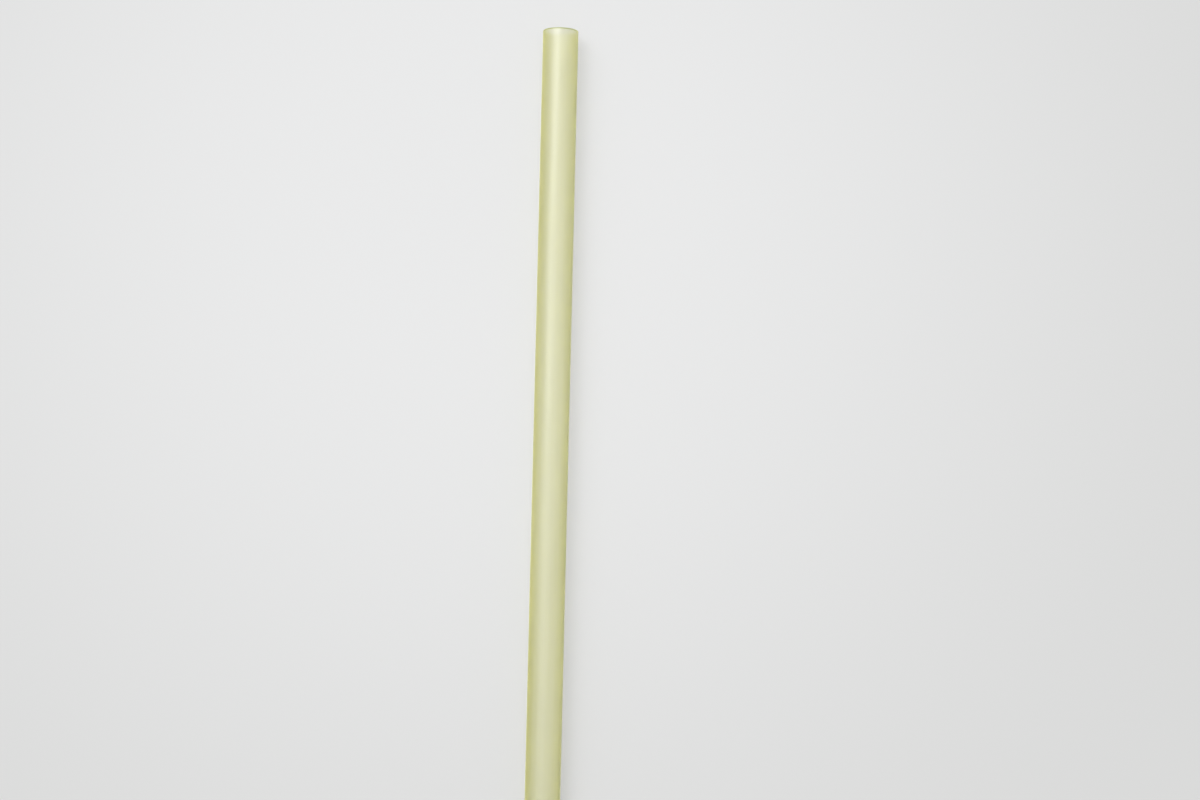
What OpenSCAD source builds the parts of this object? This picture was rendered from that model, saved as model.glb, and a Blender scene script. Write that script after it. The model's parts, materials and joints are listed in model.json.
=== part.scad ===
// Plain straight drinking straw: one thin-walled tube of translucent yellow-green plastic,
// extruded in one piece and cut square at both ends. It lies on its side along Y, as it comes
// to rest on a table, with the end that is drunk from at +Y and the surface at Z = 0.

/* [Tube] */
// Outside diameter of the tube
outer_d = 6; // [4:0.1:12]
// Thickness of the extruded wall
wall = 0.2; // [0.15:0.01:0.6]
// Length from one cut end to the other
straw_length = 200; // [100:1:300]

/* [Cut ends] */
// Bevel that the cutting knife leaves along the inner and outer edge of each end
edge_break = 0.03; // [0.01:0.005:0.05]

/* [Hidden] */

outer_r = outer_d / 2;
inner_r = outer_r - wall;
end_y = straw_length / 2;

// Sides of the circles that show in a preview; the tube itself is truly round
$fn = 96;

// Section through the wall on one side of the axis: X is the radius, Y runs along the straw
module wall_section() {
    polygon([
        [inner_r, -end_y + edge_break],
        [inner_r + edge_break, -end_y],
        [outer_r - edge_break, -end_y],
        [outer_r, -end_y + edge_break],
        [outer_r, end_y - edge_break],
        [outer_r - edge_break, end_y],
        [inner_r + edge_break, end_y],
        [inner_r, end_y - edge_break]
    ]);
}

// The whole straw, turned from its own axis to lie along Y and lifted to rest on Z = 0
module straw() {
    color([0.86, 0.87, 0.62, 0.85])
        translate([0, 0, outer_r])
            rotate([-90, 0, 0])
                rotate_extrude()
                    wall_section();
}

straw();
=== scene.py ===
import json
import math

import bpy
from mathutils import Matrix, Vector


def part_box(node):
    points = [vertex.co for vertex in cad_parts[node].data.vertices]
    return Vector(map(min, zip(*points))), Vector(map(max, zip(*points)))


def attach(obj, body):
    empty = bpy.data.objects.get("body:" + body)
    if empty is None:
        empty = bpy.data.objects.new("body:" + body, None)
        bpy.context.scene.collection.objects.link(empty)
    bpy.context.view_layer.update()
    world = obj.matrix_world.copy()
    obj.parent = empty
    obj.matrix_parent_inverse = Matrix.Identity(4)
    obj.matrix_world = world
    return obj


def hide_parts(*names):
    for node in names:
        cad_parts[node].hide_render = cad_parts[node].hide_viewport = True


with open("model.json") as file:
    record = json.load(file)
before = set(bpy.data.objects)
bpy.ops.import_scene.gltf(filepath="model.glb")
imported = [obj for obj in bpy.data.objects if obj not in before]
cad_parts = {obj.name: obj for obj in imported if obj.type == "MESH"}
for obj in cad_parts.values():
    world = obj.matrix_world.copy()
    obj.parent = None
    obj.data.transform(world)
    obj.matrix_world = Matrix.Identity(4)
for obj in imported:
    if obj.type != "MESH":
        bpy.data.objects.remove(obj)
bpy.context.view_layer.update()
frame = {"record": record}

mm = 0.001
quarterTurn = math.radians(90)
scene = bpy.context.scene
scene.view_settings.view_transform = "Standard"

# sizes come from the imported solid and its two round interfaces
low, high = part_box("straw")
mounts = {m["name"]: m["dims"] for m in frame["record"]["mounts"]}
outerRadius = mounts["outside"]["r_mm"] * mm
boreRadius = mounts["bore"]["r_mm"] * mm
strawLength = high.y - low.y
drinkEnd = high.y


# small helpers for the node trees

def addNode(tree, kind, **settings):
    node = tree.nodes.new(kind)
    for name, value in settings.items():
        setattr(node, name, value)
    return node


def mathNode(tree, operation, *values):
    node = addNode(tree, "ShaderNodeMath", operation=operation)
    for socket, value in zip(node.inputs, values):
        if isinstance(value, bpy.types.NodeSocket):
            tree.links.new(value, socket)
        else:
            socket.default_value = value
    return node.outputs[0]


def spread(tree, value, fromLow, fromHigh, toLow, toHigh, kind="LINEAR"):
    node = addNode(tree, "ShaderNodeMapRange", interpolation_type=kind)
    node.inputs["From Min"].default_value = fromLow
    node.inputs["From Max"].default_value = fromHigh
    node.inputs["To Min"].default_value = toLow
    node.inputs["To Max"].default_value = toHigh
    tree.links.new(value, node.inputs["Value"])
    return node.outputs["Result"]


def newMaterial(name):
    material = bpy.data.materials.new(name)
    material.use_nodes = True
    tree = material.node_tree
    shader = tree.nodes["Principled BSDF"]
    return material, tree, shader


# straw plastic: clear tinted melt, drawn to a frosted skin with faint lines along it

plastic = {
    "body": (0.988, 0.968, 0.05, 1.0),     # what is left of light that goes through the depth
    "depth": 1.45 * mm,
    "ior": 1.36,
    "clearSkin": (1.0, 1.0, 0.99, 1.0),    # between and along the drawn lines
    "lineSkin": (0.965, 0.965, 0.93, 1.0),
    "paintedEndShade": (0.56, 0.62, 0.28, 1.0),    # painted shade: the skin is darker and greener at each end, where light runs long through the wall
    "paintedEndShadeDepth": (0.10 * mm, 0.28 * mm),    # from the end, full and gone
    "frost": (0.28, 0.40),                 # roughness of the smooth and the dull lines
    "coat": 0.88,                          # gloss of the rolled skin
    "coatRoughness": 0.38,
    "bloom": 0.52,                         # dye that shows in the skin at a glancing look
    "bloomRoughness": 0.68,
    "bloomTint": (0.80, 0.78, 0.02, 1.0),
    "linePitch": 0.45 * mm,
    "lineLength": 60.0,                    # times its width
    "lineDetail": 3.0,
    "lineRelief": 0.004 * mm,
    "tintSpan": (0.35, 0.7),               # share of the line pattern where the tint starts and is full
    "frostSpan": (0.3, 0.7),               # the same for the roughness
    "grainPitch": 0.09 * mm,
    "grainDetail": 2.0,
    "grainRelief": 0.0012 * mm,
}


def strawPlastic():
    material, tree, shader = newMaterial("strawPlastic")
    link = tree.links.new
    place = addNode(tree, "ShaderNodeTexCoord")

    drawn = addNode(tree, "ShaderNodeMapping")
    drawn.inputs["Scale"].default_value = (1.0, 1.0 / plastic["lineLength"], 1.0)
    link(place.outputs["Object"], drawn.inputs["Vector"])
    lines = addNode(tree, "ShaderNodeTexNoise")
    lines.inputs["Scale"].default_value = 1.0 / plastic["linePitch"]
    lines.inputs["Detail"].default_value = plastic["lineDetail"]
    link(drawn.outputs["Vector"], lines.inputs["Vector"])

    grain = addNode(tree, "ShaderNodeTexNoise")
    grain.inputs["Scale"].default_value = 1.0 / plastic["grainPitch"]
    grain.inputs["Detail"].default_value = plastic["grainDetail"]
    link(place.outputs["Object"], grain.inputs["Vector"])

    # colour: faint lines along the tube, and a painted shade at each cut end, a darker greener band
    skin = addNode(tree, "ShaderNodeMix", data_type="RGBA")
    skin.inputs["A"].default_value = plastic["clearSkin"]
    skin.inputs["B"].default_value = plastic["lineSkin"]
    tint = spread(tree, lines.outputs["Fac"], *plastic["tintSpan"], 0.0, 1.0)
    link(tint, skin.inputs["Factor"])
    along = addNode(tree, "ShaderNodeSeparateXYZ")
    link(place.outputs["Object"], along.inputs["Vector"])
    fromMiddle = mathNode(tree, "ABSOLUTE", along.outputs["Y"])
    fromEnd = mathNode(tree, "SUBTRACT", drinkEnd, fromMiddle)
    # painted shade: the skin colour turns darker and greener near each end
    paintedEndShadeMix = addNode(tree, "ShaderNodeMix", data_type="RGBA")
    link(spread(tree, fromEnd, *plastic["paintedEndShadeDepth"], 1.0, 0.0), paintedEndShadeMix.inputs["Factor"])
    link(skin.outputs["Result"], paintedEndShadeMix.inputs["A"])
    paintedEndShadeMix.inputs["B"].default_value = plastic["paintedEndShade"]
    link(paintedEndShadeMix.outputs["Result"], shader.inputs["Base Color"])

    frost = spread(tree, lines.outputs["Fac"], *plastic["frostSpan"], *plastic["frost"])
    link(frost, shader.inputs["Roughness"])

    # relief: the drawn lines, and the grain over them
    ridges = addNode(tree, "ShaderNodeBump")
    ridges.inputs["Distance"].default_value = plastic["lineRelief"]
    link(lines.outputs["Fac"], ridges.inputs["Height"])
    pores = addNode(tree, "ShaderNodeBump")
    pores.inputs["Distance"].default_value = plastic["grainRelief"]
    link(grain.outputs["Fac"], pores.inputs["Height"])
    link(ridges.outputs["Normal"], pores.inputs["Normal"])
    link(pores.outputs["Normal"], shader.inputs["Normal"])

    shader.inputs["IOR"].default_value = plastic["ior"]
    shader.inputs["Transmission Weight"].default_value = 1.0
    shader.inputs["Coat Weight"].default_value = plastic["coat"]
    shader.inputs["Coat Roughness"].default_value = plastic["coatRoughness"]
    shader.inputs["Sheen Weight"].default_value = plastic["bloom"]
    shader.inputs["Sheen Roughness"].default_value = plastic["bloomRoughness"]
    shader.inputs["Sheen Tint"].default_value = plastic["bloomTint"]

    body = addNode(tree, "ShaderNodeVolumeAbsorption")
    body.inputs["Color"].default_value = plastic["body"]
    body.inputs["Density"].default_value = 1.0 / plastic["depth"]
    link(body.outputs["Volume"], tree.nodes["Material Output"].inputs["Volume"])
    return material


# straw: the section through its wall, with rounded lips, swept round the bore

straw = {
    "lipRadius": 0.05 * mm,
    "lipSteps": 4,
    "ringPitch": 4.0 * mm,
    "stepsAround": 240,
    "creaseLeeway": 0.25,                  # share of a lip step by which a crease may differ
}


def sweptTube():
    tree = bpy.data.node_groups.new("sweptTube", "GeometryNodeTree")
    link = tree.links.new
    tree.interface.new_socket("Geometry", in_out="OUTPUT", socket_type="NodeSocketGeometry")
    for name in ("Outer Radius", "Bore Radius", "Length", "Lip Radius", "Ring Pitch"):
        tree.interface.new_socket(name, in_out="INPUT", socket_type="NodeSocketFloat")
    for name in ("Lip Steps", "Steps Around"):
        tree.interface.new_socket(name, in_out="INPUT", socket_type="NodeSocketInt")
    tree.interface.new_socket("Material", in_out="INPUT", socket_type="NodeSocketMaterial")
    given = addNode(tree, "NodeGroupInput").outputs
    result = addNode(tree, "NodeGroupOutput").inputs["Geometry"]

    wall = mathNode(tree, "SUBTRACT", given["Outer Radius"], given["Bore Radius"])
    half = mathNode(tree, "MULTIPLY", wall, 0.5)
    middle = mathNode(tree, "SUBTRACT", given["Outer Radius"], half)

    section = addNode(tree, "GeometryNodeCurvePrimitiveQuadrilateral")
    link(wall, section.inputs["Width"])
    link(given["Length"], section.inputs["Height"])
    lips = addNode(tree, "GeometryNodeFilletCurve", mode="POLY")
    link(section.outputs["Curve"], lips.inputs["Curve"])
    link(given["Lip Steps"], lips.inputs["Count"])
    link(given["Lip Radius"], lips.inputs["Radius"])

    # rings along the tube: each long side is cut at the ring pitch, the short ones stay whole
    here = addNode(tree, "GeometryNodeInputPosition")
    nextPoint = addNode(tree, "GeometryNodeOffsetPointInCurve")
    nextPoint.inputs["Offset"].default_value = 1
    there = addNode(tree, "GeometryNodeFieldAtIndex", data_type="FLOAT_VECTOR")
    link(nextPoint.outputs["Point Index"], there.inputs["Index"])
    link(here.outputs["Position"], there.inputs["Value"])
    side = addNode(tree, "ShaderNodeVectorMath", operation="DISTANCE")
    link(here.outputs["Position"], side.inputs[0])
    link(there.outputs["Value"], side.inputs[1])
    rings = addNode(tree, "GeometryNodeSubdivideCurve")
    link(lips.outputs["Curve"], rings.inputs["Curve"])
    cuts = mathNode(tree, "DIVIDE", side.outputs["Value"], given["Ring Pitch"])
    link(mathNode(tree, "FLOOR", cuts), rings.inputs["Cuts"])

    ring = addNode(tree, "GeometryNodeCurvePrimitiveCircle")
    link(given["Steps Around"], ring.inputs["Resolution"])
    link(middle, ring.inputs["Radius"])
    sweep = addNode(tree, "GeometryNodeCurveToMesh")
    link(ring.outputs["Curve"], sweep.inputs["Curve"])
    link(rings.outputs["Curve"], sweep.inputs["Profile Curve"])

    # laid along the Y axis, on the floor
    lay = addNode(tree, "GeometryNodeTransform")
    lay.inputs["Rotation"].default_value = (-quarterTurn, 0.0, 0.0)
    lift = addNode(tree, "ShaderNodeCombineXYZ")
    link(given["Outer Radius"], lift.inputs["Z"])
    link(lift.outputs["Vector"], lay.inputs["Translation"])
    link(sweep.outputs["Mesh"], lay.inputs["Geometry"])

    # smooth, but the walls keep their own straight shading up to where each lip begins:
    # the tube folds there by half a step of the lip
    smooth = addNode(tree, "GeometryNodeSetShadeSmooth")
    link(lay.outputs["Geometry"], smooth.inputs["Geometry"])
    fold = addNode(tree, "GeometryNodeInputMeshEdgeAngle")
    lipStep = mathNode(tree, "DIVIDE", quarterTurn, given["Lip Steps"])
    halfStep = mathNode(tree, "MULTIPLY", lipStep, 0.5)
    leeway = mathNode(tree, "MULTIPLY", lipStep, straw["creaseLeeway"])
    lipStart = mathNode(tree, "COMPARE", fold.outputs["Unsigned Angle"], halfStep, leeway)
    crease = addNode(tree, "GeometryNodeSetShadeSmooth", domain="EDGE")
    link(smooth.outputs["Geometry"], crease.inputs["Geometry"])
    link(lipStart, crease.inputs["Selection"])
    crease.inputs["Shade Smooth"].default_value = False

    real = addNode(tree, "GeometryNodeRealizeInstances")
    link(crease.outputs["Geometry"], real.inputs["Geometry"])
    finish = addNode(tree, "GeometryNodeSetMaterial")
    link(real.outputs["Geometry"], finish.inputs["Geometry"])
    link(given["Material"], finish.inputs["Material"])
    link(finish.outputs["Geometry"], result)
    return tree


def bakeTree(name, tree, values):
    holder = bpy.data.objects.new(name + "Holder", bpy.data.meshes.new(name + "Holder"))
    scene.collection.objects.link(holder)
    modifier = holder.modifiers.new(name, "NODES")
    modifier.node_group = tree
    for item in tree.interface.items_tree:
        if item.name in values:
            modifier[item.identifier] = values[item.name]
    evaluated = holder.evaluated_get(bpy.context.evaluated_depsgraph_get())
    mesh = bpy.data.meshes.new_from_object(evaluated)
    holder.modifiers.remove(modifier)
    bpy.data.objects.remove(holder)
    mesh.name = name
    piece = bpy.data.objects.new(name, mesh)
    scene.collection.objects.link(piece)
    return piece


tube = bakeTree("drinkingStraw", sweptTube(), {
    "Outer Radius": outerRadius,
    "Bore Radius": boreRadius,
    "Length": strawLength,
    "Lip Radius": straw["lipRadius"],
    "Ring Pitch": straw["ringPitch"],
    "Lip Steps": straw["lipSteps"],
    "Steps Around": straw["stepsAround"],
    "Material": strawPlastic(),
})
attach(tube, "root")
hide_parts("straw")
print("straw:", len(tube.data.polygons), "faces")


# floor, light and camera

studio = {
    "paintedPoolPaper": (0.82, 0.82, 0.815, 1.0),
    "paperOutsidePaintedPool": (0.70, 0.70, 0.69, 1.0),  # the same paper, darker outside a painted pool of light
    "paperRoughness": 0.9,
    "paperShine": 0.2,
    "paintedPoolMiddle": (-0.015, 0.075, 0.0),
    "paintedPoolEdge": (0.02, 0.16),              # from its middle, where the painted pool starts and ends to fade
    "paperSeen": 0.6,                      # share of the paper that shows flat, without the shadow
    "floorSize": 6.0,
    "skyTint": (0.97, 0.98, 1.0, 1.0),
    "skyLight": 0.36,
    "windowLight": 5.75,                   # a wide soft window, high up ahead on the left
    "windowFocus": 12.0,                   # the higher, the smaller the window
    "windowLeft": 24.0,                    # degrees from straight above, and so is the next
    "windowAhead": 27.0,
    "skySeen": (0.70, 0.70, 0.69, 1.0),    # the backdrop past the edge of the floor
}


def floorPlane():
    half = studio["floorSize"] / 2
    mesh = bpy.data.meshes.new("floor")
    corners = [(-half, -half, 0), (half, -half, 0), (half, half, 0), (-half, half, 0)]
    mesh.from_pydata(corners, [], [(0, 1, 2, 3)])
    floor = bpy.data.objects.new("floor", mesh)
    scene.collection.objects.link(floor)

    material, tree, shader = newMaterial("palePaper")
    link = tree.links.new
    shader.inputs["Roughness"].default_value = studio["paperRoughness"]
    shader.inputs["Specular IOR Level"].default_value = studio["paperShine"]
    place = addNode(tree, "ShaderNodeTexCoord")
    away = addNode(tree, "ShaderNodeVectorMath", operation="DISTANCE")
    link(place.outputs["Object"], away.inputs[0])
    away.inputs[1].default_value = studio["paintedPoolMiddle"]
    # painted pool of light: the paper colour is lighter near the pool's middle and darker away from it,
    # also in its flat seen colour
    paintedPoolPaper = addNode(tree, "ShaderNodeMix", data_type="RGBA")
    paintedPoolFade = spread(tree, away.outputs["Value"], *studio["paintedPoolEdge"], 0.0, 1.0, "SMOOTHSTEP")
    link(paintedPoolFade, paintedPoolPaper.inputs["Factor"])
    paintedPoolPaper.inputs["A"].default_value = studio["paintedPoolPaper"]
    paintedPoolPaper.inputs["B"].default_value = studio["paperOutsidePaintedPool"]
    link(paintedPoolPaper.outputs["Result"], shader.inputs["Base Color"])

    # the clear plastic and the camera see the paper as a pale background
    flat = addNode(tree, "ShaderNodeEmission")
    link(paintedPoolPaper.outputs["Result"], flat.inputs["Color"])
    path = addNode(tree, "ShaderNodeLightPath")
    seen = mathNode(tree, "MULTIPLY", path.outputs["Is Camera Ray"], studio["paperSeen"])
    seen = mathNode(tree, "MAXIMUM", seen, path.outputs["Is Transmission Ray"])
    seen = mathNode(tree, "MAXIMUM", seen, path.outputs["Is Glossy Ray"])
    pick = addNode(tree, "ShaderNodeMixShader")
    link(seen, pick.inputs["Fac"])
    link(shader.outputs["BSDF"], pick.inputs[1])
    link(flat.outputs["Emission"], pick.inputs[2])
    link(pick.outputs["Shader"], tree.nodes["Material Output"].inputs["Surface"])
    mesh.materials.append(material)


def softSky():
    world = bpy.data.worlds.new("softSky")
    scene.world = world
    world.use_nodes = True
    tree = world.node_tree
    link = tree.links.new
    sky = tree.nodes["Background"]
    sky.inputs["Color"].default_value = studio["skyTint"]

    # the brighter the nearer to the middle of the window
    look = addNode(tree, "ShaderNodeTexCoord")
    left = math.tan(math.radians(studio["windowLeft"]))
    ahead = math.tan(math.radians(studio["windowAhead"]))
    facing = addNode(tree, "ShaderNodeVectorMath", operation="DOT_PRODUCT")
    facing.inputs[1].default_value = Vector((-left, ahead, 1.0)).normalized()
    link(look.outputs["Generated"], facing.inputs[0])
    glow = mathNode(tree, "MAXIMUM", facing.outputs["Value"], 0.0)
    glow = mathNode(tree, "POWER", glow, studio["windowFocus"])
    glow = mathNode(tree, "MULTIPLY_ADD", glow, studio["windowLight"], studio["skyLight"])
    link(glow, sky.inputs["Strength"])

    seen = addNode(tree, "ShaderNodeBackground")
    seen.inputs["Color"].default_value = studio["skySeen"]
    path = addNode(tree, "ShaderNodeLightPath")
    pick = addNode(tree, "ShaderNodeMixShader")
    link(path.outputs["Is Camera Ray"], pick.inputs["Fac"])
    link(sky.outputs["Background"], pick.inputs[1])
    link(seen.outputs["Background"], pick.inputs[2])
    link(pick.outputs["Shader"], tree.nodes["World Output"].inputs["Surface"])


camera = {
    "lens": 50.0,
    "sensor": 36.0,
    "nearest": 0.01,                       # closer than this nothing is drawn
    "height": 0.2855,                      # of the lens over the floor
    "fromDrinkEnd": 0.0680,                # along the straw, from the end to the lens
    "aside": 0.00814,                      # to the right of the straw
    "tilt": 1.1,                           # degrees towards the drinking end
    "roll": 1.34,                          # degrees about the line of sight
}


def overheadCamera():
    data = bpy.data.cameras.new("camera")
    data.lens = camera["lens"]
    data.sensor_width = camera["sensor"]
    data.clip_start = camera["nearest"]
    holder = bpy.data.objects.new("camera", data)
    place = Vector((camera["aside"], drinkEnd - camera["fromDrinkEnd"], camera["height"]))
    turn = Matrix.Rotation(math.radians(camera["tilt"]), 4, "X")
    spin = Matrix.Rotation(math.radians(camera["roll"]), 4, "Z")
    holder.matrix_world = Matrix.Translation(place) @ turn @ spin
    scene.collection.objects.link(holder)
    scene.camera = holder


floorPlane()
softSky()
overheadCamera()
print("floor, light and camera are in place")
